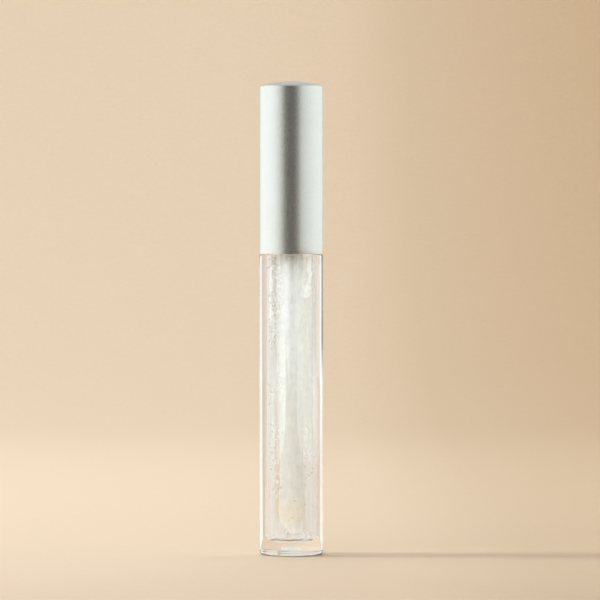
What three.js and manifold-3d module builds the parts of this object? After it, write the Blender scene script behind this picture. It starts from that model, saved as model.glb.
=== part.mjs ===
// A lip gloss tube: a thick clear bottle with a threaded neck, and a screw cap that carries the applicator.
// Millimetres, +Z up. The origin is the centre of the base, on the surface that the tube stands on.
// The cap is shown fully screwed down. It unscrews anticlockwise seen from above.

import * as THREE from 'three';
import { mergeVertices } from 'three/addons/utils/BufferGeometryUtils.js';
import Module from 'manifold-3d';

const wasm = await Module();
wasm.setup();

// Driving dimensions of the whole tube.
const TOTAL_HEIGHT = 120;
const BOTTLE_RADIUS = 8.1;
const CAP_RADIUS = 8;
const SHOULDER_HEIGHT = 76;
const RIM_GAP = 0.3; // between the bottle's shoulder and the cap's rim
const FIT = 0.05; // between pieces that are pressed or glued together

// Bottle: solid base, straight cavity, and a neck that stands inside the cap.
const BASE_EDGE = 0.9;
const SHOULDER_EDGE = 0.3;
const FLOOR_HEIGHT = 3.55;
const CAVITY_RADIUS = 4.3;
const CAVITY_CORNER = 1;
const NECK_RADIUS = 5.4;
const NECK_HEIGHT = 12.4;
const NECK_RIM = SHOULDER_HEIGHT + NECK_HEIGHT;

// Screw thread: one start, with a rounded ridge on the neck and one inside the liner.
const THREAD_LEAD = 3;
const THREAD_TURNS = 1.5;
const THREAD_START = SHOULDER_HEIGHT + 3.5;
const RIDGE_RADIUS = 0.7;
const RIDGE_SIDES = 8;
const RIDGE_STEPS_PER_TURN = 24;

// Wiper: a flange on the neck's rim, a sleeve in the bore and a cone that narrows to a lip.
const FLANGE_THICKNESS = 0.65;
const FLANGE_RADIUS = 5.2;
const SLEEVE_RADIUS = CAVITY_RADIUS - FIT;
const SLEEVE_WALL = 0.75;
const WIPER_LENGTH = 11;
const CONE_LENGTH = 2.6;
const LIP_RADIUS = 2.3;
const LIP_WALL = 0.45;
const BEAD_DEPTH = 0.15;
const BEAD_LENGTH = 0.8;
const BEAD_COUNT = 3;
const FLANGE_TOP = NECK_RIM + FIT + FLANGE_THICKNESS;

// Sealing washer, lying on the wiper's flange.
const WASHER_RADIUS = 5.45;
const WASHER_HOLE = 2.15;
const WASHER_THICKNESS = 1;
const WASHER_BOTTOM = FLANGE_TOP + FIT;

// Liner of the cap, with the socket for the rod.
const LINER_RADIUS = 7.45;
const LINER_BORE = 6.35;
const LINER_MOUTH = SHOULDER_HEIGHT + 0.7;
const MOUTH_CHAMFER = 0.4;
const ROOF_HEIGHT = WASHER_BOTTOM + WASHER_THICKNESS + FIT;
const WEB_THICKNESS = 1.3;
const LINER_TOP = 110;
const UPPER_BORE = 6.5;
const SOCKET_RADIUS = 3.3;
const SOCKET_DEPTH = 7.8;
const SOCKET_CAP = 1.2;
const RIB_COUNT = 4;
const RIB_THICKNESS = 0.8;
const RIB_HEIGHT = 5.5;
const RIB_SINK = 0.2; // how far a rib runs into the wall and the web it joins

// Aluminium shell of the cap.
const SHELL_WALL = 0.5;
const DOME_RADIUS = 25;
const SHELL_CORNER = 0.5;
const RIM_CURL = 0.12;

// Applicator: rod, flexible core and its coat of fibres.
const ROD_RADIUS = 2;
const ROD_TOP_GAP = 0.3;
const ROD_CHAMFER = 0.35;
const ROD_BOTTOM = 16.9;
const STEM_RADIUS = 1.2;
const STEM_LENGTH = 4.8;
const CORE_RADIUS = 1.7;
const CORE_BOTTOM = 5.6;
const CORE_TOP = ROD_BOTTOM - 0.15;
const END_ROUNDING = 0.8;
const FLOCK_THICKNESS = 0.4;
const FLOCK_TOP = CORE_TOP - 0.05;
const SLANT_ANGLE = THREE.MathUtils.degToRad(60); // of the slanted face, up from the horizontal
const CUTTER_SIZE = 30;

// Gloss: fills the cavity, with a channel that the applicator turns in and is drawn out of.
const GLOSS_TOP = 70;
const CHANNEL_RADIUS = 2.45;
const CHANNEL_FLOOR = 4.85;

// Fineness of round shapes.
const OUTER_SEGMENTS = 72;
const INNER_SEGMENTS = 48;
const ROD_SEGMENTS = 32;
const ARC_STEPS = 3;

const HALF_TURN = Math.PI;
const QUARTER_TURN = Math.PI / 2;
const FULL_TURN = Math.PI * 2;

// Turns an outline of (radius, height) points round the Z axis. The outline runs anticlockwise.
function turned(outline, segments) {
  const geometry = new THREE.LatheGeometry(outline.getPoints(ARC_STEPS), segments);
  return geometry.rotateX(QUARTER_TURN);
}

// An outline that starts at one point and runs straight through the others.
function outlineFrom(radius, height) {
  return new THREE.Path().moveTo(radius, height);
}

function toSolid(geometry) {
  const bare = geometry.clone();
  bare.deleteAttribute('normal');
  bare.deleteAttribute('uv');
  const merged = mergeVertices(bare);
  return new wasm.Manifold(new wasm.Mesh({
    numProp: 3,
    vertProperties: new Float32Array(merged.attributes.position.array),
    triVerts: new Uint32Array(merged.index.array),
  }));
}

function toGeometry(solid) {
  const mesh = solid.getMesh();
  const geometry = new THREE.BufferGeometry();
  geometry.setAttribute('position', new THREE.BufferAttribute(mesh.vertProperties, 3));
  geometry.setIndex(new THREE.BufferAttribute(mesh.triVerts, 1));
  geometry.computeVertexNormals();
  return geometry;
}

function joined(geometries) {
  const [first, ...others] = geometries.map(toSolid);
  return toGeometry(others.reduce((whole, piece) => whole.add(piece), first));
}

// A right-handed helix that climbs one lead in each turn.
class Helix extends THREE.Curve {
  constructor(radius, start, startAngle, turns) {
    super();
    Object.assign(this, { radius, start, startAngle, turns });
  }

  getPoint(t, target = new THREE.Vector3()) {
    const angle = this.startAngle + t * this.turns * FULL_TURN;
    const height = this.start + t * this.turns * THREAD_LEAD;
    return target.set(this.radius * Math.cos(angle), this.radius * Math.sin(angle), height);
  }
}

// The ridge's round section, whose middle lies on the wall that the ridge stands on.
function threadRidge(radius, startAngle) {
  const section = new THREE.Shape();
  for (let side = 0; side < RIDGE_SIDES; side += 1) {
    const angle = (side / RIDGE_SIDES) * FULL_TURN;
    const point = [RIDGE_RADIUS * Math.cos(angle), RIDGE_RADIUS * Math.sin(angle)];
    if (side === 0) section.moveTo(...point);
    else section.lineTo(...point);
  }
  section.closePath();
  return new THREE.ExtrudeGeometry(section, {
    steps: THREAD_TURNS * RIDGE_STEPS_PER_TURN,
    bevelEnabled: false,
    extrudePath: new Helix(radius, THREAD_START, startAngle, THREAD_TURNS),
  });
}

function cavityOutline(path, radius, corner, floor) {
  path.lineTo(radius, floor + corner);
  path.absarc(radius - corner, floor + corner, corner, 0, -QUARTER_TURN, true);
  return path.lineTo(0, floor);
}

function bottleGeometry() {
  const outline = outlineFrom(0, 0);
  outline.lineTo(BOTTLE_RADIUS - BASE_EDGE, 0);
  outline.absarc(BOTTLE_RADIUS - BASE_EDGE, BASE_EDGE, BASE_EDGE, -QUARTER_TURN, 0, false);
  outline.lineTo(BOTTLE_RADIUS, SHOULDER_HEIGHT - SHOULDER_EDGE);
  outline.absarc(
    BOTTLE_RADIUS - SHOULDER_EDGE, SHOULDER_HEIGHT - SHOULDER_EDGE, SHOULDER_EDGE, 0, QUARTER_TURN, false,
  );
  outline.lineTo(NECK_RADIUS, SHOULDER_HEIGHT);
  outline.lineTo(NECK_RADIUS, NECK_RIM - SHOULDER_EDGE);
  outline.lineTo(NECK_RADIUS - SHOULDER_EDGE, NECK_RIM);
  outline.lineTo(CAVITY_RADIUS, NECK_RIM);
  cavityOutline(outline, CAVITY_RADIUS, CAVITY_CORNER, FLOOR_HEIGHT);
  return joined([turned(outline, OUTER_SEGMENTS), threadRidge(NECK_RADIUS, 0)]);
}

function wiperGeometry() {
  const bottom = NECK_RIM - WIPER_LENGTH;
  const coneTop = bottom + CONE_LENGTH;
  const sleeveBore = SLEEVE_RADIUS - SLEEVE_WALL;
  const outline = outlineFrom(LIP_RADIUS, bottom);
  outline.lineTo(LIP_RADIUS + LIP_WALL, bottom);
  outline.lineTo(SLEEVE_RADIUS - BEAD_DEPTH, coneTop);
  const beadPitch = (NECK_RIM - coneTop) / (BEAD_COUNT + 1);
  for (let bead = 1; bead <= BEAD_COUNT; bead += 1) {
    const middle = coneTop + bead * beadPitch;
    outline.lineTo(SLEEVE_RADIUS - BEAD_DEPTH, middle - BEAD_LENGTH / 2);
    outline.lineTo(SLEEVE_RADIUS, middle);
    outline.lineTo(SLEEVE_RADIUS - BEAD_DEPTH, middle + BEAD_LENGTH / 2);
  }
  outline.lineTo(SLEEVE_RADIUS - BEAD_DEPTH, NECK_RIM + FIT);
  outline.lineTo(FLANGE_RADIUS, NECK_RIM + FIT);
  outline.lineTo(FLANGE_RADIUS, FLANGE_TOP);
  outline.lineTo(sleeveBore, FLANGE_TOP);
  outline.lineTo(sleeveBore, coneTop);
  outline.lineTo(LIP_RADIUS, bottom + LIP_WALL);
  outline.closePath();
  return turned(outline, INNER_SEGMENTS);
}

function glossGeometry() {
  const radius = CAVITY_RADIUS - FIT;
  const corner = CAVITY_CORNER - FIT;
  const bottom = FLOOR_HEIGHT + FIT;
  const outline = outlineFrom(0, bottom);
  outline.lineTo(radius - corner, bottom);
  outline.absarc(radius - corner, bottom + corner, corner, -QUARTER_TURN, 0, false);
  outline.lineTo(radius, GLOSS_TOP);
  outline.lineTo(CHANNEL_RADIUS, GLOSS_TOP);
  outline.lineTo(CHANNEL_RADIUS, CHANNEL_FLOOR);
  outline.lineTo(0, CHANNEL_FLOOR);
  return turned(outline, INNER_SEGMENTS);
}

function sealWasherGeometry() {
  const top = WASHER_BOTTOM + WASHER_THICKNESS;
  const outline = outlineFrom(WASHER_HOLE, WASHER_BOTTOM);
  outline.lineTo(WASHER_RADIUS, WASHER_BOTTOM);
  outline.lineTo(WASHER_RADIUS, top);
  outline.lineTo(WASHER_HOLE, top);
  outline.closePath();
  return turned(outline, INNER_SEGMENTS);
}

function linerRib(index) {
  const inner = SOCKET_RADIUS - RIB_SINK;
  const outer = UPPER_BORE + RIB_SINK;
  const height = RIB_HEIGHT + RIB_SINK;
  const webTop = ROOF_HEIGHT + WEB_THICKNESS;
  const rib = new THREE.BoxGeometry(outer - inner, RIB_THICKNESS, height);
  rib.translate((inner + outer) / 2, 0, webTop - RIB_SINK + height / 2);
  return rib.rotateZ((index / RIB_COUNT) * FULL_TURN);
}

function innerCapGeometry() {
  const socketBore = ROD_RADIUS + FIT;
  const socketTop = ROOF_HEIGHT + SOCKET_DEPTH;
  const webTop = ROOF_HEIGHT + WEB_THICKNESS;
  const outline = outlineFrom(0, socketTop);
  outline.lineTo(socketBore, socketTop);
  outline.lineTo(socketBore, ROOF_HEIGHT);
  outline.lineTo(LINER_BORE, ROOF_HEIGHT);
  outline.lineTo(LINER_BORE, LINER_MOUTH + MOUTH_CHAMFER);
  outline.lineTo(LINER_BORE + MOUTH_CHAMFER, LINER_MOUTH);
  outline.lineTo(LINER_RADIUS, LINER_MOUTH);
  outline.lineTo(LINER_RADIUS, LINER_TOP);
  outline.lineTo(UPPER_BORE, LINER_TOP);
  outline.lineTo(UPPER_BORE, webTop);
  outline.lineTo(SOCKET_RADIUS, webTop);
  outline.lineTo(SOCKET_RADIUS, socketTop + SOCKET_CAP - MOUTH_CHAMFER);
  outline.lineTo(SOCKET_RADIUS - MOUTH_CHAMFER, socketTop + SOCKET_CAP);
  outline.lineTo(0, socketTop + SOCKET_CAP);
  const ribs = Array.from({ length: RIB_COUNT }, (_, index) => linerRib(index));
  // Half a turn on from the neck's ridge, so that the two ridges lie half a lead apart.
  return joined([turned(outline, INNER_SEGMENTS), threadRidge(LINER_BORE, HALF_TURN), ...ribs]);
}

function capShellGeometry() {
  const domeCentre = TOTAL_HEIGHT - DOME_RADIUS;
  const innerRadius = CAP_RADIUS - SHELL_WALL;
  const innerDome = DOME_RADIUS - SHELL_WALL;
  const rim = SHOULDER_HEIGHT + RIM_GAP;
  const cornerMiddle = CAP_RADIUS - SHELL_CORNER;
  const cornerRise = Math.sqrt((DOME_RADIUS - SHELL_CORNER) ** 2 - cornerMiddle ** 2);
  const cornerAngle = Math.atan2(cornerRise, cornerMiddle);
  const innerAngle = Math.acos(innerRadius / innerDome);
  const outline = outlineFrom(0, domeCentre + innerDome);
  outline.absarc(0, domeCentre, innerDome, QUARTER_TURN, innerAngle, true);
  outline.lineTo(innerRadius, rim + RIM_CURL);
  outline.lineTo(innerRadius + RIM_CURL, rim);
  outline.lineTo(CAP_RADIUS - RIM_CURL, rim);
  outline.lineTo(CAP_RADIUS, rim + RIM_CURL);
  outline.absarc(cornerMiddle, domeCentre + cornerRise, SHELL_CORNER, 0, cornerAngle, false);
  outline.absarc(0, domeCentre, DOME_RADIUS, cornerAngle, QUARTER_TURN, false);
  return turned(outline, OUTER_SEGMENTS);
}

function applicatorRodGeometry() {
  const top = ROOF_HEIGHT + SOCKET_DEPTH - ROD_TOP_GAP;
  const holeRadius = STEM_RADIUS + FIT;
  const holeTop = ROD_BOTTOM + STEM_LENGTH;
  const outline = outlineFrom(0, holeTop);
  outline.lineTo(holeRadius, holeTop);
  outline.lineTo(holeRadius, ROD_BOTTOM);
  outline.lineTo(ROD_RADIUS - ROD_CHAMFER, ROD_BOTTOM);
  outline.lineTo(ROD_RADIUS, ROD_BOTTOM + ROD_CHAMFER);
  outline.lineTo(ROD_RADIUS, top - ROD_CHAMFER);
  outline.lineTo(ROD_RADIUS - ROD_CHAMFER, top);
  outline.lineTo(0, top);
  return turned(outline, ROD_SEGMENTS);
}

// A round peg with a rounded lower end.
function roundEndedPeg(radius, bottom, top) {
  const outline = outlineFrom(0, bottom);
  outline.lineTo(radius - END_ROUNDING, bottom);
  outline.absarc(radius - END_ROUNDING, bottom + END_ROUNDING, END_ROUNDING, -QUARTER_TURN, 0, false);
  outline.lineTo(radius, top);
  outline.lineTo(0, top);
  return toSolid(turned(outline, ROD_SEGMENTS));
}

// Removes everything on the -X side of the slanted face that meets the axis at the given height.
function slanted(solid, heightOnAxis) {
  const block = new THREE.BoxGeometry(CUTTER_SIZE, CUTTER_SIZE, CUTTER_SIZE);
  block.translate(0, 0, -CUTTER_SIZE / 2);
  block.rotateY(SLANT_ANGLE);
  block.translate(0, 0, heightOnAxis);
  return solid.subtract(toSolid(block));
}

function tipCoreGeometry() {
  const stem = roundEndedPeg(STEM_RADIUS, CORE_TOP - END_ROUNDING * 2, CORE_TOP + STEM_LENGTH - FIT * 2);
  const body = slanted(roundEndedPeg(CORE_RADIUS, CORE_BOTTOM, CORE_TOP), CORE_BOTTOM);
  return toGeometry(body.add(stem));
}

function tipFlockGeometry() {
  const bottom = CORE_BOTTOM - FLOCK_THICKNESS;
  const slantOffset = FLOCK_THICKNESS / Math.cos(SLANT_ANGLE);
  const outer = slanted(
    roundEndedPeg(CORE_RADIUS + FLOCK_THICKNESS, bottom, FLOCK_TOP), CORE_BOTTOM - slantOffset,
  );
  const hollow = slanted(
    roundEndedPeg(CORE_RADIUS + FIT, CORE_BOTTOM - FIT, ROD_BOTTOM), CORE_BOTTOM - FIT / Math.cos(SLANT_ANGLE),
  );
  return toGeometry(outer.subtract(hollow));
}

function piece(name, geometry, color, roughness, metalness, opacity = 1) {
  const material = new THREE.MeshStandardMaterial({
    color, roughness, metalness, opacity, transparent: opacity < 1,
  });
  const mesh = new THREE.Mesh(geometry, material);
  mesh.name = name;
  return mesh;
}

const tube = new THREE.Group();
tube.name = 'lip_gloss_tube';
tube.add(
  piece('bottle', bottleGeometry(), 0xf2f4f3, 0.05, 0, 0.35),
  piece('wiper', wiperGeometry(), 0xe9ebea, 0.5, 0),
  piece('gloss', glossGeometry(), 0xefe6dc, 0.1, 0, 0.5),
  piece('seal_washer', sealWasherGeometry(), 0xf4f4f2, 0.9, 0),
  piece('inner_cap', innerCapGeometry(), 0xf1f1ee, 0.45, 0),
  piece('cap_shell', capShellGeometry(), 0xd9dcda, 0.3, 1),
  piece('applicator_rod', applicatorRodGeometry(), 0xd8dbd8, 0.25, 0),
  piece('tip_core', tipCoreGeometry(), 0xe6dccb, 0.5, 0),
  piece('tip_flock', tipFlockGeometry(), 0xf1e7d6, 0.95, 0),
);

export default tube;
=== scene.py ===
"""Looks of the lip gloss tube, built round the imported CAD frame. Metres, +Z up, front towards -Y."""

import math
import random

import bmesh
import bpy
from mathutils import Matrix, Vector, noise


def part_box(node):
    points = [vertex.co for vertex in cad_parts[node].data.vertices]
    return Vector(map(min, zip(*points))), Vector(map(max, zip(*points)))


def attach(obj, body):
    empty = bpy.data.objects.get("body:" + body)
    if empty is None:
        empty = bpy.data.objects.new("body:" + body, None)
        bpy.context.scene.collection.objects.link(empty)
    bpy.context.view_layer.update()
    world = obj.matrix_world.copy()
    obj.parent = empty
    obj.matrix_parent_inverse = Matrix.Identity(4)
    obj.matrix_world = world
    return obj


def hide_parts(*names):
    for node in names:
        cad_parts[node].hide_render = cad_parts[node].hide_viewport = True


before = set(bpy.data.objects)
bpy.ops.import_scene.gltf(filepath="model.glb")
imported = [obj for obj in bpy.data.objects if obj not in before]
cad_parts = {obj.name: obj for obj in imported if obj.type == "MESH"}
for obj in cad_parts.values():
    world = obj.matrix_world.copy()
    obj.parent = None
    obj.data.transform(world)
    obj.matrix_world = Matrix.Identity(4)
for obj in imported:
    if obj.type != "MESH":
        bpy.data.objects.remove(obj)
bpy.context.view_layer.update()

MM = 0.001
FULL_TURN = 2 * math.pi
QUARTER = math.pi / 2

# Sizes read from the frame.
_, BOTTLE_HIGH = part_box("bottle")
SHELL_LOW, SHELL_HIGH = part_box("cap_shell")
GLOSS_LOW, GLOSS_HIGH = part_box("gloss")
ROD_LOW, ROD_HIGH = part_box("applicator_rod")
FLOCK_LOW, FLOCK_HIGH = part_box("tip_flock")
WIPER_LOW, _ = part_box("wiper")

# Gaps that the CAD model leaves between pieces, and what follows from the sizes above.
FIT = 0.05 * MM
RIM_GAP = 0.3 * MM
BOTTLE_RADIUS = BOTTLE_HIGH.x
NECK_RIM = BOTTLE_HIGH.z
SHOULDER = SHELL_LOW.z - RIM_GAP
CAVITY_RADIUS = GLOSS_HIGH.x + FIT
CAVITY_FLOOR = GLOSS_LOW.z - FIT
ROD_RADIUS = ROD_HIGH.x
TIP_RADIUS = FLOCK_HIGH.x
CAP_RADIUS = SHELL_HIGH.x
CAP_TOP = SHELL_HIGH.z

# Sizes that the frame doesn't give as a box, as the CAD model has them.
BASE_EDGE = 0.9 * MM
SHOULDER_EDGE = 0.3 * MM
CAVITY_CORNER = 1.0 * MM
NECK_RADIUS = 5.4 * MM
THREAD_LEAD = 3.0 * MM
THREAD_TURNS = 1.5
THREAD_START = SHOULDER + 3.5 * MM
RIDGE_RADIUS = 0.7 * MM
DOME_RADIUS = 25.0 * MM
SHELL_WALL = 0.5 * MM
SHELL_CORNER = 0.5 * MM

# The visual cap reaches a little lower than the CAD cap, so that the joint line is as thin as in the photo.
RIM_DROP = 0.17 * MM

SEED = 11


# ---------------------------------------------------------------- mesh tools

ON_AXIS = 1e-9
RIDGE_RUN_OUT = 12


def arc(centre_r, centre_z, radius, start, end, steps):
    """Points (r, z) on an arc, both ends included."""
    turn = (end - start) / steps
    return [
        (centre_r + radius * math.cos(start + i * turn), centre_z + radius * math.sin(start + i * turn))
        for i in range(steps + 1)
    ]


def rows_between(start, end, count):
    """Points (r, z) evenly spaced after start, up to and including end."""
    return [
        (start[0] + (end[0] - start[0]) * i / count, start[1] + (end[1] - start[1]) * i / count)
        for i in range(1, count + 1)
    ]


def join_rings(bm, pairs, segments):
    """Fills the bands between pairs of rings. A ring of one vertex makes triangles."""
    for low, high in pairs:
        for i in range(segments):
            j = (i + 1) % segments
            corners = [low[i % len(low)], low[j % len(low)], high[j % len(high)], high[i % len(high)]]
            face = list(dict.fromkeys(corners))
            if len(face) > 2:
                bm.faces.new(face)


def revolve(bm, outline, segments, radius_at=None, closed=False):
    """Adds a turned surface to bm. Outline points on the axis become one vertex."""
    rings = []
    for r, z in outline:
        if r < ON_AXIS:
            rings.append([bm.verts.new((0, 0, z))])
            continue
        ring = []
        for i in range(segments):
            a = i / segments * FULL_TURN
            radius = radius_at(r, z, a) if radius_at else r
            ring.append(bm.verts.new((radius * math.cos(a), radius * math.sin(a), z)))
        rings.append(ring)
    pairs = list(zip(rings, rings[1:]))
    if closed:
        pairs.append((rings[-1], rings[0]))
    join_rings(bm, pairs, segments)


def piece_from(bm, name, sharp_degrees=35):
    """Turns bm into a smooth-shaded object, with edges sharper than the angle kept crisp."""
    mesh = bpy.data.meshes.new(name)
    bm.to_mesh(mesh)
    bm.free()
    mesh.polygons.foreach_set("use_smooth", [True] * len(mesh.polygons))
    mesh.set_sharp_from_angle(angle=math.radians(sharp_degrees))
    obj = bpy.data.objects.new(name, mesh)
    bpy.context.scene.collection.objects.link(obj)
    return obj


def turned_piece(name, outline, segments, radius_at=None, closed=False):
    bm = bmesh.new()
    revolve(bm, outline, segments, radius_at, closed)
    return piece_from(bm, name)


def ridge_height(z, angle):
    """How far the screw ridge stands out of its wall at a height and angle."""
    best = 0.0
    for turn in range(-1, 3):
        along = angle / FULL_TURN + turn
        if not 0 <= along <= THREAD_TURNS:
            continue
        off = z - (THREAD_START + along * THREAD_LEAD)
        if abs(off) < RIDGE_RADIUS:
            fade = min(1.0, along * RIDGE_RUN_OUT, (THREAD_TURNS - along) * RIDGE_RUN_OUT)
            best = max(best, math.sqrt(RIDGE_RADIUS**2 - off**2) * fade)
    return best


# ---------------------------------------------------------------- materials

def new_material(name):
    mat = bpy.data.materials.new(name)
    mat.use_nodes = True
    tree = mat.node_tree
    return mat, tree, tree.nodes["Principled BSDF"]


def set_inputs(node, **values):
    for key, value in values.items():
        socket = node.inputs[key.replace("_", " ")]
        if isinstance(value, tuple) and len(value) == 3:
            value = (*value, 1.0)
        socket.default_value = value


def noise_node(tree, scale, detail=3.0, roughness=0.5, stretch=(1, 1, 1)):
    """Noise in the object's own space. scale is in features per metre."""
    coords = tree.nodes.new("ShaderNodeTexCoord")
    mapping = tree.nodes.new("ShaderNodeMapping")
    mapping.inputs["Scale"].default_value = stretch
    tex = tree.nodes.new("ShaderNodeTexNoise")
    set_inputs(tex, Scale=scale, Detail=detail, Roughness=roughness)
    tree.links.new(coords.outputs["Object"], mapping.inputs["Vector"])
    tree.links.new(mapping.outputs["Vector"], tex.inputs["Vector"])
    return tex


def ramp(tree, source, stops):
    """Maps a 0 to 1 value to colours. stops is a list of (position, colour)."""
    node = tree.nodes.new("ShaderNodeValToRGB")
    elements = node.color_ramp.elements
    while len(elements) < len(stops):
        elements.new(0.5)
    for element, (position, colour) in zip(elements, stops):
        element.position = position
        element.color = (*colour, 1.0)
    tree.links.new(source, node.inputs["Fac"])
    return node.outputs["Color"]


# Nearly all of a noise texture lies between these two values.
NOISE_LOW, NOISE_HIGH = 0.3, 0.7


def two_tones(tree, source, dark, light):
    return ramp(tree, source, [(NOISE_LOW, dark), (NOISE_HIGH, light)])


def value_range(tree, source, low, high):
    """Spreads a noise over low to high."""
    node = tree.nodes.new("ShaderNodeMapRange")
    node.inputs["From Min"].default_value = NOISE_LOW
    node.inputs["From Max"].default_value = NOISE_HIGH
    node.inputs["To Min"].default_value = low
    node.inputs["To Max"].default_value = high
    tree.links.new(source, node.inputs["Value"])
    return node.outputs["Result"]


def share_along(tree, axis, start, end):
    """How far a point lies from start to end on an axis of the object's own space, as 0 to 1."""
    coords = tree.nodes.new("ShaderNodeTexCoord")
    split = tree.nodes.new("ShaderNodeSeparateXYZ")
    tree.links.new(coords.outputs["Object"], split.inputs["Vector"])
    node = tree.nodes.new("ShaderNodeMapRange")
    node.inputs["From Min"].default_value = start
    node.inputs["From Max"].default_value = end
    tree.links.new(split.outputs[axis], node.inputs["Value"])
    return node.outputs["Result"]


def fade_to(tree, source, colour, amount):
    """Mixes from a colour socket to one colour by an amount socket."""
    mix = tree.nodes.new("ShaderNodeMix")
    mix.data_type = "RGBA"
    mix.inputs["B"].default_value = (*colour, 1.0)
    tree.links.new(amount, mix.inputs["Factor"])
    tree.links.new(source, mix.inputs["A"])
    return mix.outputs["Result"]


def multiply(tree, first, second):
    mix = tree.nodes.new("ShaderNodeMix")
    mix.data_type, mix.blend_type = "RGBA", "MULTIPLY"
    mix.inputs["Factor"].default_value = 1.0
    tree.links.new(first, mix.inputs["A"])
    tree.links.new(second, mix.inputs["B"])
    return mix.outputs["Result"]


def add_bump(tree, shader, source, strength, distance):
    bump = tree.nodes.new("ShaderNodeBump")
    bump.inputs["Strength"].default_value = strength
    bump.inputs["Distance"].default_value = distance
    tree.links.new(source, bump.inputs["Height"])
    tree.links.new(bump.outputs["Normal"], shader.inputs["Normal"])


def clear_plastic():
    mat, tree, shader = new_material("clear_plastic")
    set_inputs(shader, Transmission_Weight=1.0, IOR=1.55, Roughness=0.0)
    drift = noise_node(tree, 90, detail=1.0, stretch=(1, 1, 0.15))
    colour = two_tones(tree, drift.outputs["Fac"], (0.985, 0.992, 0.99), (0.995, 0.998, 0.997))
    tree.links.new(colour, shader.inputs["Base Color"])
    add_bump(tree, shader, drift.outputs["Fac"], 0.05, 0.0002)
    return mat


def gloss_gel():
    mat, tree, shader = new_material("gloss_gel")
    set_inputs(shader, Transmission_Weight=1.0, IOR=1.49, Roughness=0.0)
    cloud = noise_node(tree, 260, detail=2.0, stretch=(1, 1, 0.5))
    colour = two_tones(tree, cloud.outputs["Fac"], (0.985, 0.98, 0.97), (1.0, 0.998, 0.995))
    tree.links.new(colour, shader.inputs["Base Color"])
    return mat


VEIL_RANGE = 80 * MM
# How strong the veil is at each height, in millimetres.
VEIL_SHARES = ((5, 0.2), (17, 0.26), (31, 0.42), (44, 1.0))
VEIL_STOPS = [(level * MM / VEIL_RANGE, (share, share, share)) for level, share in VEIL_SHARES]


def aerated_gel():
    """Gel with air bubbles too small to see one by one: a broken white veil."""
    mat, tree, shader = new_material("aerated_gel")
    set_inputs(shader, Base_Color=(0.95, 0.965, 0.975), Roughness=0.6, Specular_IOR_Level=0.0)
    streaks = noise_node(tree, 700, detail=5.0, roughness=0.6, stretch=(1, 1, 0.35))
    amount = ramp(tree, share_along(tree, "Z", 0.0, VEIL_RANGE), VEIL_STOPS)
    veil = value_range(tree, streaks.outputs["Fac"], 0.02, 0.32)
    share = tree.nodes.new("ShaderNodeMath")
    share.operation = "MULTIPLY"
    tree.links.new(veil, share.inputs[0])
    tree.links.new(amount, share.inputs[1])
    tree.links.new(share.outputs["Value"], shader.inputs["Alpha"])
    return mat


def satin_aluminium():
    mat, tree, shader = new_material("satin_aluminium")
    set_inputs(shader, Metallic=1.0)
    grain = noise_node(tree, 9000, detail=4.0)
    patches = noise_node(tree, 120, detail=2.0)
    colour = two_tones(tree, patches.outputs["Fac"], (0.86, 0.89, 0.865), (0.89, 0.915, 0.895))
    tree.links.new(colour, shader.inputs["Base Color"])
    tree.links.new(value_range(tree, grain.outputs["Fac"], 0.255, 0.29), shader.inputs["Roughness"])
    add_bump(tree, shader, grain.outputs["Fac"], 0.03, 0.00002)
    return mat


def moulded_plastic(name, dark, light, low_rough, high_rough):
    mat, tree, shader = new_material(name)
    mottle = noise_node(tree, 900, detail=3.0)
    fine = noise_node(tree, 6000, detail=3.0)
    tree.links.new(two_tones(tree, mottle.outputs["Fac"], dark, light), shader.inputs["Base Color"])
    tree.links.new(value_range(tree, mottle.outputs["Fac"], low_rough, high_rough), shader.inputs["Roughness"])
    add_bump(tree, shader, fine.outputs["Fac"], 0.1, 0.00003)
    return mat


# Darkening of the rod's colour, from its low end to the bottle's shoulder: a little darker low down, and painted
# shade of the cap at the top.
ROD_PAINTED_SHADE_RAMP = [
    (0.0, (0.9, 0.89, 0.87)),
    (0.3, (0.88, 0.87, 0.85)),
    (0.6, (1.0, 1.0, 1.0)),
    (0.86, (1.0, 1.0, 1.0)),
    (0.925, (0.85, 0.82, 0.79)),
    (1.0, (0.4, 0.36, 0.32)),
]


def rod_with_painted_cap_shade():
    """White plastic, a little darker low down, with painted shade of the cap greying its top."""
    mat = moulded_plastic("rod_plastic", (0.91, 0.92, 0.9), (0.95, 0.95, 0.93), 0.25, 0.4)
    tree = mat.node_tree
    shader = next(n for n in tree.nodes if n.type == "BSDF_PRINCIPLED")
    plain = shader.inputs["Base Color"].links[0].from_socket
    # Painted shade: the colour darkens towards the top, where the cap shades the rod.
    painted_shade = ramp(tree, share_along(tree, "Z", ROD_LOW.z, SHOULDER), ROD_PAINTED_SHADE_RAMP)
    tree.links.new(multiply(tree, plain, painted_shade), shader.inputs["Base Color"])
    return mat


def washer_foam():
    mat, tree, shader = new_material("washer_foam")
    cells = tree.nodes.new("ShaderNodeTexVoronoi")
    cells.inputs["Scale"].default_value = 5000
    coords = tree.nodes.new("ShaderNodeTexCoord")
    tree.links.new(coords.outputs["Object"], cells.inputs["Vector"])
    colour = ramp(tree, cells.outputs["Distance"], [(0.0, (0.78, 0.78, 0.76)), (0.5, (0.92, 0.92, 0.91))])
    tree.links.new(colour, shader.inputs["Base Color"])
    set_inputs(shader, Roughness=0.85)
    add_bump(tree, shader, cells.outputs["Distance"], 0.5, 0.0001)
    return mat


NAP_WHITE = (1.0, 1.0, 0.98)
NAP_GREY = (0.84, 0.83, 0.8)
GREY_FROM = 6.5 * MM
WHITE_FROM, WHITE_TO = 3.2 * MM, 0.8 * MM


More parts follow.
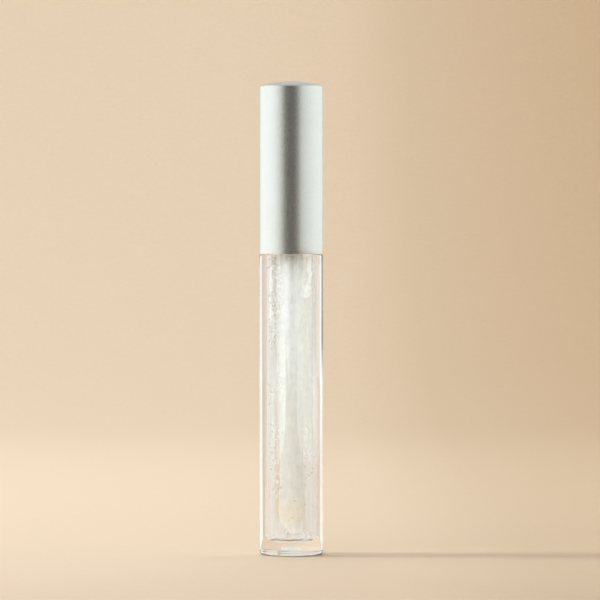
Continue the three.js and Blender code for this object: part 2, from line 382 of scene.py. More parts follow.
def flocked_fibres():
    """Soft cream nap: warm where it faces the eye, white round its rim as painted sheen, white at its low end,
    greyer towards the rod.
    """
    mat, tree, shader = new_material("tip_fibres")
    set_inputs(shader, Roughness=0.75, Sheen_Weight=0.4)
    clumps = noise_node(tree, 700, detail=2.0)
    warm = two_tones(tree, clumps.outputs["Fac"], (0.9, 0.79, 0.64), (0.95, 0.89, 0.78))
    # Painted sheen: the colour fades to white where the surface turns away from the eye.
    facing = tree.nodes.new("ShaderNodeLayerWeight")
    facing.inputs["Blend"].default_value = 0.16
    painted_rim_sheen = fade_to(tree, warm, NAP_WHITE, facing.outputs["Facing"])
    rise = share_along(tree, "Z", FLOCK_LOW.z + GREY_FROM, ROD_LOW.z)
    fall = share_along(tree, "Z", FLOCK_LOW.z + WHITE_FROM, FLOCK_LOW.z + WHITE_TO)
    pale = fade_to(tree, fade_to(tree, painted_rim_sheen, NAP_GREY, rise), NAP_WHITE, fall)
    tree.links.new(pale, shader.inputs["Base Color"])
    return mat


# ---------------------------------------------------------------- pieces

def make_bottle():
    r, neck = BOTTLE_RADIUS, NECK_RADIUS
    outline = [(0, 0), (r * 0.5, 0)]
    outline += arc(r - BASE_EDGE, BASE_EDGE, BASE_EDGE, -QUARTER, 0, 12)
    outline += rows_between(outline[-1], (r, SHOULDER - SHOULDER_EDGE), 24)
    outline += arc(r - SHOULDER_EDGE, SHOULDER - SHOULDER_EDGE, SHOULDER_EDGE, 0, QUARTER, 6)[1:]
    outline += rows_between(outline[-1], (neck, SHOULDER), 2)
    outline += rows_between(outline[-1], (neck, NECK_RIM - SHOULDER_EDGE), 100)
    outline += arc(neck - SHOULDER_EDGE, NECK_RIM - SHOULDER_EDGE, SHOULDER_EDGE, 0, QUARTER, 4)[1:]
    outline += [(CAVITY_RADIUS, NECK_RIM)]
    outline += rows_between(outline[-1], (CAVITY_RADIUS, CAVITY_FLOOR + CAVITY_CORNER), 24)
    outline += arc(CAVITY_RADIUS - CAVITY_CORNER, CAVITY_FLOOR + CAVITY_CORNER, CAVITY_CORNER, 0, -QUARTER, 12)[1:]
    outline += [(0, CAVITY_FLOOR)]

    def radius_at(radius, z, angle):
        on_neck = abs(radius - neck) < 1e-7 and SHOULDER < z < NECK_RIM - SHOULDER_EDGE
        return radius + ridge_height(z, angle) if on_neck else radius

    return turned_piece("bottle_body", outline, 192, radius_at)


def ball_template(subdivisions):
    bm = bmesh.new()
    bmesh.ops.create_icosphere(bm, subdivisions=subdivisions, radius=1.0)
    points = [v.co.copy() for v in bm.verts]
    faces = [[v.index for v in f.verts] for f in bm.faces]
    bm.free()
    return points, faces


def add_ball(bm, template, place, hollow=False):
    """Adds a ball bent by place. The faces of a hollow one look inwards, as the skin of a space in the gel."""
    points, faces = template
    verts = [bm.verts.new(place(p)) for p in points]
    for face in faces:
        bm.faces.new([verts[i] for i in (reversed(face) if hollow else face)])


# Clusters of bubbles: bearing from the front in degrees, its spread, height and depth in millimetres, and how many.
CLUSTERS = [
    (-55, 12, 24.5, 9.0, 34),
    (-50, 9, 17.5, 6.0, 22),
    (-60, 12, 31.0, 5.0, 18),
    (-48, 14, 42.0, 8.0, 22),
    (-64, 12, 57.0, 12.0, 60),
    (-68, 10, 68.0, 14.0, 70),
    (-42, 12, 66.0, 16.0, 40),
    (53, 6, 31.4, 1.4, 8),
    (55, 6, 25.9, 1.4, 7),
    (56, 6, 19.7, 1.2, 5),
    (58, 10, 5.2, 1.0, 9),
    (-20, 4, 6.0, 0.8, 3),
]


# Bubble sizes: middle radius in millimetres, spread of its logarithm, and largest radius.
CLUSTER_SIZE = (0.15, 0.35, 0.24)
LOOSE_SIZE = (0.07, 0.45, 0.26)
LOOSE_BUBBLES = 420
TRIES_PER_BUBBLE = 60

# Gel between two bubbles, and in millimetres between a cluster and the wall, with the spread of its depth.
APART = 0.02 * MM
WALL_SKIN, DEPTH_SPREAD = 0.13, 0.12


def bubble_radius(rng, size):
    middle, spread, largest = size
    return min(largest, rng.lognormvariate(math.log(middle), spread))


def is_clear(centre, radius, others):
    return all((centre - c).length > radius + r + APART for c, r in others)


def cluster_places(rng, taken):
    """Centres and radii of clustered bubbles, just inside the cavity's wall and clear of each other."""
    found = []
    for bearing, spread, z, height, count in CLUSTERS:
        for _ in range(count):
            radius = bubble_radius(rng, CLUSTER_SIZE)
            turn = math.radians(rng.gauss(bearing, spread))
            reach = CAVITY_RADIUS / MM - WALL_SKIN - radius - abs(rng.gauss(0, DEPTH_SPREAD))
            spot = Vector((reach * math.sin(turn), -reach * math.cos(turn), z + rng.uniform(-height, height) / 2))
            if is_clear(spot * MM, radius * MM, found + taken):
                found.append((spot * MM, radius * MM))
    return found


def bubble_places(rng, count, taken):
    """Centres and radii of loose bubbles, clear of the wall, the tip's path and each other."""
    inner, outer = TIP_RADIUS + 0.1 * MM, CAVITY_RADIUS - 0.08 * MM
    low, high = CAVITY_FLOOR + 1.2 * MM, SHOULDER - 1.0 * MM
    found = []
    for _ in range(count * TRIES_PER_BUBBLE):
        if len(found) == count:
            break
        radius = bubble_radius(rng, LOOSE_SIZE) * MM
        angle = rng.uniform(0, FULL_TURN)
        reach = rng.uniform(inner + radius, outer - radius)
        z = low + (high - low) * rng.random() ** 0.8
        centre = Vector((reach * math.cos(angle), reach * math.sin(angle), z))
        if is_clear(centre, radius, found + taken):
            found.append((centre, radius))
    return found


# Air pockets in millimetres: centre x and y, lowest and highest point, half width, half thickness, yaw in degrees.
POCKETS = [
    (2.25, -2.8, 65.0, 70.4, 0.26, 0.1, 48),
    (-3.3, -2.1, 52.6, 55.4, 0.25, 0.1, -48),
    (3.95, -0.75, 44.7, 47.8, 0.17, 0.12, 75),
    (3.1, -2.2, 52.2, 58.6, 0.2, 0.08, 48),
    (-3.1, -2.2, 30.5, 33.6, 0.16, 0.08, -50),
]


def pocket_place(pocket, seed):
    """A function that bends a unit ball into one of the pockets or streaks."""
    x, y, low, high, half_width, half_thick, yaw = pocket
    across = Vector((math.cos(math.radians(yaw)), math.sin(math.radians(yaw)), 0))
    through = Vector((-across.y, across.x, 0))
    centre = Vector((x, y, (low + high) / 2))

    def place(p):
        swell = 1 + 0.7 * noise.noise(Vector((seed, p.z * 2.2, p.x)))
        sway = 0.35 * half_width * math.sin(p.z * 2.6 + seed)
        wide = across * (p.x * half_width * swell + sway)
        thick = through * (p.y * half_thick * (1 + 0.5 * noise.noise(Vector((p.z * 5, p.x * 3, seed)))))
        return (centre + wide + thick + Vector((0, 0, p.z * (high - low) / 2))) * MM

    return place


POCKET_STEPS = 12
POCKET_SWELL, POCKET_MARGIN = 1.6, 0.1


def room_of_pockets():
    """Balls down the length of each pocket, to keep the bubbles out of it."""
    balls = []
    for x, y, low, high, half_width, _, _ in POCKETS:
        for i in range(POCKET_STEPS + 1):
            z = low + (high - low) * i / POCKET_STEPS
            balls.append((Vector((x, y, z)) * MM, (half_width * POCKET_SWELL + POCKET_MARGIN) * MM))
    return balls


def make_gloss():
    """The gel: a solid that laps a hair into the wall, with hollows for its air and a film of air on the floor."""
    lap = 0.02 * MM
    radius, floor, corner = CAVITY_RADIUS + lap, CAVITY_FLOOR - lap, CAVITY_CORNER + lap
    top = WIPER_LOW.z - 0.4 * MM
    outline = [(0, floor)]
    outline += arc(radius - corner, floor + corner, corner, -QUARTER, 0, 12)
    outline += rows_between(outline[-1], (radius, top), 24)
    outline += [(radius * 0.75, top - 0.25 * MM), (radius * 0.5, top - 0.3 * MM), (0, top - 0.3 * MM)]
    bm = bmesh.new()
    revolve(bm, outline, 160)
    ball = ball_template(4)
    for seed, pocket in enumerate(POCKETS):
        add_ball(bm, ball, pocket_place(pocket, seed + 0.5), hollow=True)
    small = ball_template(2)
    rng = random.Random(SEED)
    pockets = room_of_pockets()
    clusters = cluster_places(rng, pockets)
    for centre, r in clusters + bubble_places(rng, LOOSE_BUBBLES, pockets + clusters):
        add_ball(bm, small, lambda p, c=centre, r=r: c + p * r, hollow=True)
    low, high = floor + 0.08 * MM, floor + 0.42 * MM
    film = [(1.1 * MM, (low + high) / 2)]
    film += [(r * MM, high) for r in (1.3, 2.2, 3.0)]
    film += [(3.6 * MM, high + 0.12 * MM), (3.85 * MM, high + 0.06 * MM)]
    film += [(r * MM, low) for r in (3.3, 2.4, 1.4)]

    def film_radius(radius, z, angle):
        return radius * (1 + 0.03 * noise.noise(Vector((math.cos(angle) * 2, math.sin(angle) * 2, 5.0))))

    revolve(bm, film, 120, film_radius, closed=True)
    return piece_from(bm, "gloss_fill")


# Streaks of white froth, which also paint in the bright reflections of air pockets, in millimetres: centre x and y,
# lowest and highest point, half width, half thickness, yaw.
STREAKS = [
    (3.5, -1.6, 69.4, 75.7, 0.38, 0.1, 30),
    (3.4, -1.75, 66.8, 71.4, 0.34, 0.12, 30),
    (3.0, -2.2, 64.9, 68.6, 0.72, 0.14, 32),
    (-3.68, -0.95, 70.6, 75.6, 0.3, 0.09, -25),
    (-3.72, -0.9, 65.6, 71.2, 0.36, 0.1, -25),
    (-3.6, -1.15, 58.0, 62.8, 0.5, 0.12, -28),
    (-3.74, -0.9, 62.0, 66.2, 0.24, 0.08, -25),
    (-3.5, -1.6, 54.6, 57.0, 0.22, 0.08, -35),
]


# Size of a speck against the bubble size that the cluster gives it.
SPECK_SHARE = 0.8


def make_streaks():
    """Streaks of froth that also stand in as painted reflections of air pockets, and specks of froth in the same
    clusters as the bubbles.
    """
    bm = bmesh.new()
    ball = ball_template(4)
    speck = ball_template(1)
    rng = random.Random(SEED + 2)
    for centre, r in cluster_places(rng, []):
        squeeze = Vector((1, 1, rng.uniform(0.7, 1.5)))
        add_ball(bm, speck, lambda p, c=centre, r=r, squeeze=squeeze: c + p * squeeze * r * SPECK_SHARE)
    # Streaks: white froth that also paints in the bright reflections of air pockets.
    for seed, streak in enumerate(STREAKS):
        add_ball(bm, ball, pocket_place(streak, seed + 4.5))
    return piece_from(bm, "froth_streaks_painted_glint")


def froth_and_painted_glint():
    mat, tree, shader = new_material("froth_and_painted_glint")
    set_inputs(shader, Roughness=0.28, IOR=2.0, Specular_IOR_Level=0.8)
    cells = noise_node(tree, 2600, detail=4.0)
    colour = ramp(tree, cells.outputs["Fac"], [(0.3, (0.97, 0.98, 0.97)), (0.6, (1.0, 1.0, 1.0))])
    tree.links.new(colour, shader.inputs["Base Color"])
    add_bump(tree, shader, cells.outputs["Fac"], 0.4, 0.0001)
    return mat


def make_veil(name, inner, outer, swell, seed):
    """A wavy hollow sleeve of the fine bubbles that the applicator has stirred into the gel."""
    low, high = CAVITY_FLOOR + 0.5 * MM, SHOULDER - 0.6 * MM
    rows = 90
    outline = [(inner, low + (high - low) * (rows - i) / rows) for i in range(rows + 1)]
    outline += [(outer, low + (high - low) * i / rows) for i in range(rows + 1)]

    def radius_at(radius, z, angle):
        spot = Vector((math.cos(angle) * 1.3, math.sin(angle) * 1.3, z / MM * 0.16))
        wave = noise.fractal(spot + Vector((seed, 0, 0 if radius == inner else 9)), 0.9, 2.0, 4)
        return min(CAVITY_RADIUS - 0.08 * MM, radius + wave * swell)

    return turned_piece(name, outline, 96, radius_at, closed=True)


def make_cap_shell():
    centre = CAP_TOP - DOME_RADIUS
    corner_r = CAP_RADIUS - SHELL_CORNER
    rise = math.sqrt((DOME_RADIUS - SHELL_CORNER) ** 2 - corner_r**2)
    corner_angle = math.atan2(rise, corner_r)
    inner_radius, inner_dome = CAP_RADIUS - SHELL_WALL, DOME_RADIUS - SHELL_WALL
    inner_angle = math.acos(inner_radius / inner_dome)
    rim, curl = SHELL_LOW.z - RIM_DROP, 0.12 * MM
    outline = arc(0, centre, inner_dome, QUARTER, inner_angle, 10)
    outline[0] = (0, outline[0][1])
    outline += rows_between(outline[-1], (inner_radius, rim + curl), 12)
    outline += arc(CAP_RADIUS - curl, rim + curl, curl, math.pi, 2 * math.pi, 8)
    outline += rows_between(outline[-1], (CAP_RADIUS, centre + rise), 24)
    outline += arc(corner_r, centre + rise, SHELL_CORNER, 0, corner_angle, 8)[1:]
    outline += arc(0, centre, DOME_RADIUS, corner_angle, QUARTER, 16)[1:-1]
    outline += [(0, CAP_TOP)]
    return turned_piece("cap_sleeve", outline, 192)


def make_rod():
    top, low, edge = ROD_HIGH.z, ROD_LOW.z, 0.1 * MM
    outline = [(0, low), (ROD_RADIUS - edge, low)]
    outline += arc(ROD_RADIUS - edge, low + edge, edge, -QUARTER, 0, 4)
    outline += rows_between(outline[-1], (ROD_RADIUS, top - edge), 30)
    outline += arc(ROD_RADIUS - edge, top - edge, edge, 0, QUARTER, 4)[1:]
    outline += [(0, top)]
    return turned_piece("applicator_stem", outline, 64)


# The tip's slanted cut, the top of its nap, its rounded edges, and how much it narrows towards the rod.
SLANT_HEIGHT = 4.8 * MM
SLANT = math.radians(60)
NAP_TOP = ROD_LOW.z + 0.5 * MM
EDGE_BLEND = 0.7 * MM
THINNING = 0.13 * MM
NECK_REACH, NECK_FADE = 2.2 * MM, 2 * MM
SEARCH_REACH = 6 * MM
SEARCH_STEPS = 26

# Fibres: how many, how far they lean and stray, how deep they root, half width, shortest and longest.
FIBRES = 3200
FIBRE_LEAN = 0.35
FIBRE_STRAY = 0.06
FIBRE_ROOT = 0.08
FIBRE_WIDTH = 0.014 * MM
FIBRE_SHORT, FIBRE_LONG = 0.16, 0.3


def soft_max(a, b, blend):
    """The larger of two values, rounded where they are nearly equal."""
    overlap = max(blend - abs(a - b), 0.0) / blend
    return max(a, b) + overlap * overlap * blend / 4


def tip_distance(p):
    """Signed distance to the slant-cut fibre tip, with its edges rounded by the nap."""
    thin = min(max((p.z - NAP_TOP + NECK_REACH) / NECK_FADE, 0.0), 1.0)
    side = math.hypot(p.x, p.y) - TIP_RADIUS + THINNING * thin
    slant = SLANT_HEIGHT * math.cos(SLANT) - p.x * math.sin(SLANT) - p.z * math.cos(SLANT)
    d = soft_max(side, slant, EDGE_BLEND)
    d = soft_max(d, FLOCK_LOW.z - p.z, EDGE_BLEND)
    return soft_max(d, p.z - NAP_TOP, EDGE_BLEND)


def tip_surface_point(origin, direction):
    """Where a ray from inside the tip leaves it, with a little ruffle."""
    near, far = 0.0, SEARCH_REACH
    for _ in range(SEARCH_STEPS):
        middle = (near + far) / 2
        if tip_distance(origin + direction * middle) < 0:
            near = middle
        else:
            far = middle
    p = origin + direction * near
    ruffle = noise.fractal(p * 2600, 0.8, 2.0, 3) * 0.035 * MM
    return p + direction * ruffle


def make_tip():
    """The fibre coat, found by rays from a line down its middle, with single fibres on top."""
    low_centre = Vector((0.7 * MM, 0, FLOCK_LOW.z + 1.5 * MM))
    high_centre = Vector((0, 0, NAP_TOP - 0.8 * MM))
    segments, cap_rows, side_rows = 96, 16, 70
    rays = [(low_centre, -QUARTER + QUARTER * i / cap_rows) for i in range(cap_rows)]
    rays += [(low_centre.lerp(high_centre, i / side_rows), 0.0) for i in range(side_rows + 1)]
    rays += [(high_centre, QUARTER * (i + 1) / 6) for i in range(6)]
    bm = bmesh.new()
    rings = []
    for centre, lift in rays:
        if abs(abs(lift) - QUARTER) < 1e-6:
            up = Vector((0, 0, math.copysign(1, lift)))
            rings.append([bm.verts.new(tip_surface_point(centre, up))])
            continue
        ring = []
        for i in range(segments):
            a = i / segments * FULL_TURN
            out = Vector((math.cos(a) * math.cos(lift), math.sin(a) * math.cos(lift), math.sin(lift)))
            ring.append(bm.verts.new(tip_surface_point(centre, out)))
        rings.append(ring)
    join_rings(bm, zip(rings, rings[1:]), segments)
    bm.normal_update()
    roots = [(v.co.copy(), v.normal.copy()) for v in bm.verts if v.co.z < ROD_LOW.z - 0.1 * MM]
    rng = random.Random(SEED + 1)
    for _ in range(FIBRES):
        root, normal = rng.choice(roots)
        add_fibre(bm, rng, root, normal)
    return piece_from(bm, "fibre_tip", 180)


def add_fibre(bm, rng, root, normal):
    """A short tapering nylon fibre standing on the tip's surface."""
    lean = Vector([rng.gauss(0, FIBRE_LEAN) for _ in range(3)])
    way = (normal + lean).normalized()
    stray = Vector([rng.uniform(-FIBRE_STRAY, FIBRE_STRAY) * MM for _ in range(3)])
    start = root + stray - way * FIBRE_ROOT * MM
    across = way.orthogonal().normalized()
    over = way.cross(across)
    length = rng.uniform(FIBRE_SHORT, FIBRE_LONG) * MM
    base = []
    for k in range(3):
        a = FULL_TURN * k / 3
        base.append(bm.verts.new(start + (across * math.cos(a) + over * math.sin(a)) * FIBRE_WIDTH))
    point = bm.verts.new(start + way * length)
    bm.faces.new(base[::-1])
    for k in range(3):
        bm.faces.new((base[k], base[(k + 1) % 3], point))


# ---------------------------------------------------------------- stage

EYE_HEIGHT = 74.7 * MM
EYE_DISTANCE = 1.0
AIM = Vector((2.2 * MM, 0, 64.5 * MM))
LENS = 236.4
SENSOR = 36.0


def make_camera():
    data = bpy.data.cameras.new("camera")
    data.lens, data.sensor_width = LENS, SENSOR
    data.clip_start, data.clip_end = 0.05, 20
    cam = bpy.data.objects.new("camera", data)
    bpy.context.scene.collection.objects.link(cam)
    cam.location = (AIM.x, -EYE_DISTANCE, EYE_HEIGHT)
    cam.rotation_euler = (AIM - cam.location).to_track_quat("-Z", "Y").to_euler()
    bpy.context.scene.camera = cam


def area_light(name, location, target, width, height, radiance):
    """A white lamp that neither the camera nor a reflection can see."""
    data = bpy.data.lights.new(name, "AREA")
    data.shape, data.size, data.size_y = "RECTANGLE", width, height
    data.energy = radiance * math.pi * width * height
    lamp = bpy.data.objects.new(name, data)
    bpy.context.scene.collection.objects.link(lamp)
    lamp.location = location
    lamp.rotation_euler = (Vector(target) - Vector(location)).to_track_quat("-Z", "Y").to_euler()
    lamp.visible_camera = lamp.visible_glossy = False
    return lamp


# Painted shade of the backdrop from left to right, over SHADE_REACH either way: the paper darkens to the right,
# where the light falls off.
SHADE_REACH = 0.2
SHADE_STOPS = [
    (0.0, (1.0, 1.0, 1.0)),
    (0.42, (0.99, 0.985, 0.98)),
    (0.56, (0.96, 0.945, 0.925)),
    (0.66, (0.86, 0.82, 0.77)),
    (1.0, (0.76, 0.675, 0.56)),
]


def stage_material():
    """Pale paper with painted shade that darkens it to the right. It is clear from outside, so that a camera behind
    the bowl still sees in.
    """
    mat, tree, shader = new_material("backdrop_paper")
    set_inputs(shader, Roughness=0.9, Specular_IOR_Level=0.1)
    fibre = noise_node(tree, 400, detail=4.0)
    paper = two_tones(tree, fibre.outputs["Fac"], (0.59, 0.504, 0.397), (0.61, 0.521, 0.409))
    # Painted shade: the paper's colour is darkened towards the right.
    shade = ramp(tree, share_along(tree, "X", -SHADE_REACH, SHADE_REACH), SHADE_STOPS)
    tree.links.new(multiply(tree, paper, shade), shader.inputs["Base Color"])
    side = tree.nodes.new("ShaderNodeNewGeometry")
    clear = tree.nodes.new("ShaderNodeBsdfTransparent")
    one_way = tree.nodes.new("ShaderNodeMixShader")
    out = next(n for n in tree.nodes if n.type == "OUTPUT_MATERIAL")
    tree.links.new(side.outputs["Backfacing"], one_way.inputs["Fac"])
    tree.links.new(shader.outputs["BSDF"], one_way.inputs[1])
    tree.links.new(clear.outputs["BSDF"], one_way.inputs[2])
    tree.links.new(one_way.outputs["Shader"], out.inputs["Surface"])
    return mat


def make_backdrop():
    """A round floor that bends up into a wall, open at the top."""
    flat, bend, wall_top, floor = 0.7, 0.9, 1.9, -0.15 * MM
    outline = [(0, floor)] + rows_between((0, floor), (flat, floor), 6)
    outline += arc(flat, bend + floor, bend, -QUARTER, 0, 32)[1:]
    outline += [(flat + bend, wall_top)]
    drop = turned_piece("backdrop", outline[::-1], 128)
    drop.data.materials.append(stage_material())


# Tints of the light cards.
COOL = (0.965, 1.0, 0.965)
BLUISH = (0.98, 1.07, 1.12)
NAVY = (0.8, 0.9, 1.2)
WARM = (1.0, 0.99, 0.93)
LILAC = (1.0, 0.93, 0.9)
TAN = (0.86, 0.76, 0.65)
PINK = (0.7, 0.57, 0.5)
CREAM = (0.86, 0.78, 0.68)


def make_card(name, corners, mat, hidden_from):
    """A flat card that only reflections and refractions see. It hides what is behind it from them."""
    bm = bmesh.new()
    bm.faces.new([bm.verts.new(c) for c in corners])
    card = piece_from(bm, name)
    card.data.materials.append(mat)
    for rays in ("camera", "diffuse", "shadow", *hidden_from):
        setattr(card, f"visible_{rays}", False)
    return card


def glow(name, axis, low, high, stops, tint=COOL):
    """A shadeless light surface. Its brightness runs along an axis through the stops."""
    mat = bpy.data.materials.new(name)
    mat.use_nodes = True
    tree = mat.node_tree
    tree.nodes.clear()
    colours = [(at, tuple(level * c for c in tint)) for at, level in stops]
    colour = ramp(tree, share_along(tree, axis, low, high), colours)
    light = tree.nodes.new("ShaderNodeEmission")
    tree.links.new(colour, light.inputs["Color"])
    out = tree.nodes.new("ShaderNodeOutputMaterial")
    tree.links.new(light.outputs["Emission"], out.inputs["Surface"])
    return mat


# A mirrored card shows only in reflections. A card that is seen through shows only in the glass and the gel.
MIRRORED, THROUGH = ("transmission",), ("glossy",)
FLOOR_LIFT = 1.0 * MM
LOW_LIFT = 0.2 * MM

# Lamps: name, place, target, width, height and radiance.
LAMPS = (
    ("front_fill", (-0.6, -0.9, 1.2), (0, 0.3, 0), 1.0, 1.0, 2.1),
    ("overhead", (-0.12, 0.25, 1.5), (0, 0.4, 0), 1.0, 1.0, 1.7),
    ("wall_wash", (-0.1, 0.3, 1.3), (0.1, 1.4, 0.4), 1.2, 0.6, 4.9),
    ("key", (-0.98, 0.06, 0.43), (0, 0, 0.06), 0.26, 0.26, 45.0),
)

# Big panels at the sides: name, X, back edge, brightness from front to back, and what they are hidden from.
PANEL_SIDE, PANEL_FRONT, PANEL_BACK, PANEL_TOP = 0.42, -0.66, 0.95, 0.75
SOFT_LEFT = [(0.0, 0.46), (0.12, 0.7), (0.25, 0.92), (0.35, 1.04), (0.5, 1.08), (1.0, 1.08)]
SOFT_RIGHT = [(0.0, 0.6), (0.2, 0.75), (0.45, 0.95), (1.0, 0.97)]
SIDE_PANELS = (
    ("left_panel", -PANEL_SIDE, PANEL_BACK, SOFT_LEFT, MIRRORED),
    ("right_panel", PANEL_SIDE, PANEL_BACK, SOFT_RIGHT, MIRRORED),
    ("left_window", -PANEL_SIDE, 0.24, [(0.0, 2.9), (0.6, 2.3), (1.0, 1.1)], THROUGH),
    ("right_window", PANEL_SIDE, 0.19, [(0.0, 1.6), (1.0, 1.35)], THROUGH),
)

# Strips close to the bottle, which draw the lines of its wall: name, X, front edge, back edge at the foot and at the
# top, foot, brightness from the foot up, and tint.
STRIP_SIDE, STRIP_TOP, STRIP_SPAN = 0.04, 0.12, 0.1
STRIPS = (
    ("left_strip", -STRIP_SIDE, -0.006, 0.0335, 0.0335, LOW_LIFT, [(0.0, 1.1), (1.0, 1.1)], COOL),
    ("right_strip", STRIP_SIDE, -0.006, 0.036, 0.024, LOW_LIFT, [(0.0, 1.1), (1.0, 1.1)], COOL),
    ("flag", 0.0005 - STRIP_SIDE, -0.002, 0.0268, 0.0268, 0.043, [(0.43, 1.1), (0.5, 0.4), (0.53, 0.05)], NAVY),
)

# Darker cards behind the strips, which tone the wall of the bottle between its lines.
TONE_SIDE, TONE_FRONT, TONE_BACK, TONE_END = 0.0405, 0.02, 0.062, 0.13
TONES = (
    ("left_tone", -TONE_SIDE, [(0.3, 0.95), (0.5, 0.87), (0.8, 0.82)], TAN),
    ("right_tone", TONE_SIDE, [(0.3, 0.9), (0.6, 0.95), (0.75, 1.15), (1.0, 1.25)], PINK),
)
FAR_TONES = (("left_far_tone", -TONE_SIDE, 0.86), ("right_far_tone", TONE_SIDE, 0.95))

# Patches on the floor as (x, y) corners: one far off at the left, and two that show in the bottle's clear base, a
# painted shadow and a pale patch. The last is the right half of a patch, in millimetres.
FAR_FLOOR_PATCH = ((-0.0215, TONE_END), (-0.104, 0.6), (-0.216, 0.6), (-0.0445, TONE_END))
BASE_SHADE_PATCH = ((0.0021, 0.011), (0.0043, 0.011), (0.017, 0.023), (0.0062, 0.023))
BASE_GLOW_HALF = ((1.2, 8.5), (0.45, 11.6), (5.2, 34.0))

# What the cap mirrors from the front: a dark field with paler sides.
DARK_FRONT, DARK_HALF, DARK_TOP = -0.85, 0.54, 0.8
DARK_STOPS = [(0.0, 0.44), (0.1, 0.3), (0.22, 0.12), (0.64, 0.11), (0.75, 0.17), (0.89, 0.34), (1.0, 0.52)]

# What the white pieces in the bottle see through it, from the front and from above.
INNER_HALF, INNER_HEIGHT, INNER_TOP_HALF, INNER_TOP = 0.75, 1.0, 0.8, 1.1
INNER_STOPS = [(0.0, 3.4), (0.3, 1.9), (0.46, 0.34), (0.6, 0.45), (1.0, 1.8)]

BACK_GLOW_STOPS = [(0.0, 0.85), (0.35, 0.8), (0.61, 0.8), (0.65, 0.34), (1.0, 0.34)]


def side_wall(x, front, back, low, high, back_at_top=None):
    """Corners of an upright card that runs from front to back."""
    return [(x, front, low), (x, back, low), (x, back_at_top or back, high), (x, front, high)]


def cross_wall(y, half, low, high):
    """Corners of an upright card that runs from side to side."""
    return [(-half, y, low), (half, y, low), (half, y, high), (-half, y, high)]


def even_glow(name, level, tint=COOL):
    return glow(name, "Z", 0, 1, [(0.0, level), (1.0, level)], tint)


def make_side_cards():
    for name, side, back, stops, hidden in SIDE_PANELS:
        wall = side_wall(side, PANEL_FRONT, back, FLOOR_LIFT, PANEL_TOP)
        make_card(name, wall, glow(name, "Y", PANEL_FRONT, back, stops), hidden)
    for name, side, front, low_back, high_back, foot, stops, tint in STRIPS:
        wall = side_wall(side, front, low_back, foot, STRIP_TOP, high_back)
        make_card(name, wall, glow(name, "Z", 0, STRIP_SPAN, stops, tint), THROUGH)
    for name, side, stops, tint in TONES:
        wall = side_wall(side, TONE_FRONT, TONE_BACK, LOW_LIFT, STRIP_TOP)
        make_card(name, wall, glow(name, "Y", TONE_FRONT, TONE_BACK, stops, tint), THROUGH)


def make_floor_tones():
    """Tones that go on from the cards at the sides, so that they don't end in a hard line."""
    lift, start, inner_share = 0.3 * MM, 0.047, 0.1
    for name, side, level in FAR_TONES:
        tone = even_glow(name, level, CREAM)
        make_card(name, side_wall(side, TONE_BACK, TONE_END, LOW_LIFT, STRIP_TOP), tone, THROUGH)
        inner = side * inner_share
        patch = [(side, TONE_END, lift), (side, start, lift), (inner, start, lift), (inner, TONE_END, lift)]
        make_card(name + "_floor", patch, tone, THROUGH)
    patch = [(x, y, lift) for x, y in FAR_FLOOR_PATCH]
    make_card("far_floor_tone", patch, even_glow("far_floor_tone", 0.9, TAN), THROUGH)


def make_base_and_back_cards():
    # Painted shadow on the floor, seen only through the bottle's base.
    shade = [(x, y, 0.45 * MM) for x, y in BASE_SHADE_PATCH]
    make_card("base_shade", shade, even_glow("base_shade", 0.5, LILAC), THROUGH)
    half, low = 0.45, 0.079
    back_glow = glow("back_glow", "X", -half, half, BACK_GLOW_STOPS)
    make_card("back_glow", cross_wall(0.4, half, low, 0.6), back_glow, THROUGH)
    left = [(-x * MM, y * MM, 0.4 * MM) for x, y in BASE_GLOW_HALF]
    right = [(-x, y, z) for x, y, z in left[::-1]]
    make_card("base_glow", left + right, even_glow("base_glow", 0.82), THROUGH)
    make_card("back_panel", cross_wall(0.9, 0.6, 0.05, 0.9), even_glow("back_panel", 0.6), MIRRORED)


def make_front_cards():
    dark = glow("dark_front", "X", -DARK_HALF, DARK_HALF, DARK_STOPS, WARM)
    make_card("dark_front", cross_wall(DARK_FRONT, DARK_HALF, 0, DARK_TOP), dark, MIRRORED)
    near_end = -0.012
    floor = [(0, near_end, FLOOR_LIFT), (-DARK_HALF, DARK_FRONT, FLOOR_LIFT), (DARK_HALF, DARK_FRONT, FLOOR_LIFT)]
    dark = glow("dark_floor", "X", -DARK_HALF, DARK_HALF, DARK_STOPS, WARM)
    make_card("dark_floor", floor, dark, MIRRORED)
    bright = glow("inner_front", "X", -INNER_HALF, INNER_HALF, INNER_STOPS, BLUISH)
    wall = cross_wall(DARK_FRONT + 0.01, INNER_HALF, FLOOR_LIFT, INNER_HEIGHT)
    make_card("inner_front", wall, bright, THROUGH)
    reach, height = INNER_TOP_HALF, INNER_TOP
    roof = [(-reach, -reach, height), (reach, -reach, height), (reach, reach, height), (-reach, reach, height)]
    bright = glow("inner_top", "X", -reach, reach, [(0.0, 1.6), (1.0, 1.1)], BLUISH)
    make_card("inner_top", roof, bright, THROUGH)


def make_stage():
    make_backdrop()
    for lamp in LAMPS:
        area_light(*lamp)
    make_side_cards()
    make_floor_tones()
    make_base_and_back_cards()
    make_front_cards()
    world = bpy.data.worlds.new("world")
    bpy.context.scene.world = world
    world.use_nodes = True
    set_inputs(world.node_tree.nodes["Background"], Color=(0.9, 0.88, 0.84), Strength=0.5)


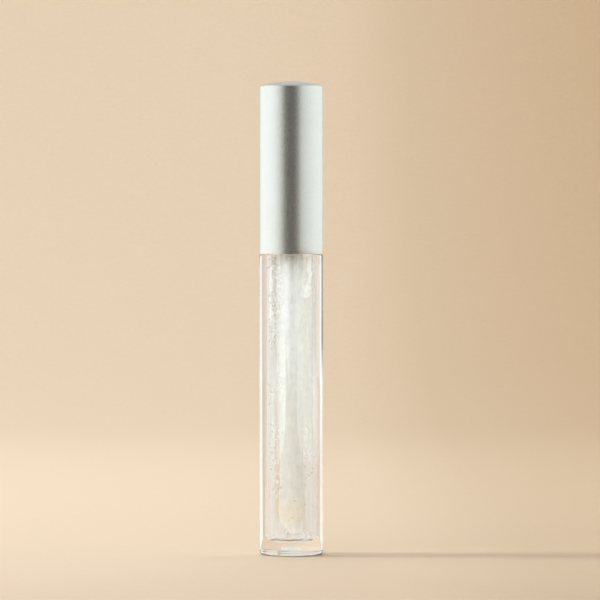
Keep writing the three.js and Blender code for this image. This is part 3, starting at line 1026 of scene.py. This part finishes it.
def light_the_wand(*pieces):
    """Soft front lights for the drawn-out wand alone. The bottle keeps them off the wand at rest."""
    lit = bpy.data.collections.new("wand_light")
    for piece in pieces:
        lit.objects.link(piece)
    for name, side in (("wand_fill_left", -0.7), ("wand_fill_right", 0.7)):
        lamp = area_light(name, (side, -0.8, 0.5), (0, 0, 0.15), 0.6, 0.6, 3.5)
        lamp.light_linking.receiver_collection = lit


def finish_piece(obj, body, node, mat):
    obj.data.materials.append(mat)
    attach(obj, body)
    if node:
        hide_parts(node)


def dress_node(node, mat):
    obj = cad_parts[node]
    for slot in obj.material_slots:
        slot.material = mat
    if not obj.material_slots:
        obj.data.materials.append(mat)


make_camera()
make_stage()

finish_piece(make_bottle(), "bottle", "bottle", clear_plastic())
finish_piece(make_gloss(), "gloss", "gloss", gloss_gel())
finish_piece(make_streaks(), "gloss", None, froth_and_painted_glint())
froth = aerated_gel()
inner_veil = make_veil("stirred_gel_inner", ROD_RADIUS + 0.3 * MM, ROD_RADIUS + 0.9 * MM, 0.2 * MM, 3.0)
outer_veil = make_veil("stirred_gel_outer", ROD_RADIUS + 1.15 * MM, ROD_RADIUS + 1.6 * MM, 0.22 * MM, 17.0)
finish_piece(inner_veil, "gloss", None, froth)
finish_piece(outer_veil, "gloss", None, froth)
finish_piece(make_cap_shell(), "cap", "cap_shell", satin_aluminium())
rod = make_rod()
finish_piece(rod, "cap", "applicator_rod", rod_with_painted_cap_shade())
dress_node("wiper", moulded_plastic("wiper_plastic", (0.86, 0.87, 0.87), (0.9, 0.91, 0.9), 0.35, 0.5))
dress_node("inner_cap", moulded_plastic("liner_plastic", (0.9, 0.9, 0.88), (0.93, 0.93, 0.91), 0.4, 0.55))
dress_node("tip_core", moulded_plastic("core_plastic", (0.86, 0.82, 0.74), (0.9, 0.86, 0.79), 0.5, 0.6))
dress_node("seal_washer", washer_foam())
tip = make_tip()
finish_piece(tip, "cap", "tip_flock", flocked_fibres())
light_the_wand(rod, tip)

view = bpy.context.scene.view_settings
view.view_transform = "Standard"
cycles = bpy.context.scene.cycles
cycles.max_bounces = 48
cycles.diffuse_bounces = 16
cycles.glossy_bounces = 24
cycles.transmission_bounces = 48
cycles.transparent_max_bounces = 32
cycles.sample_clamp_indirect = 8.0
cycles.blur_glossy = 0.0
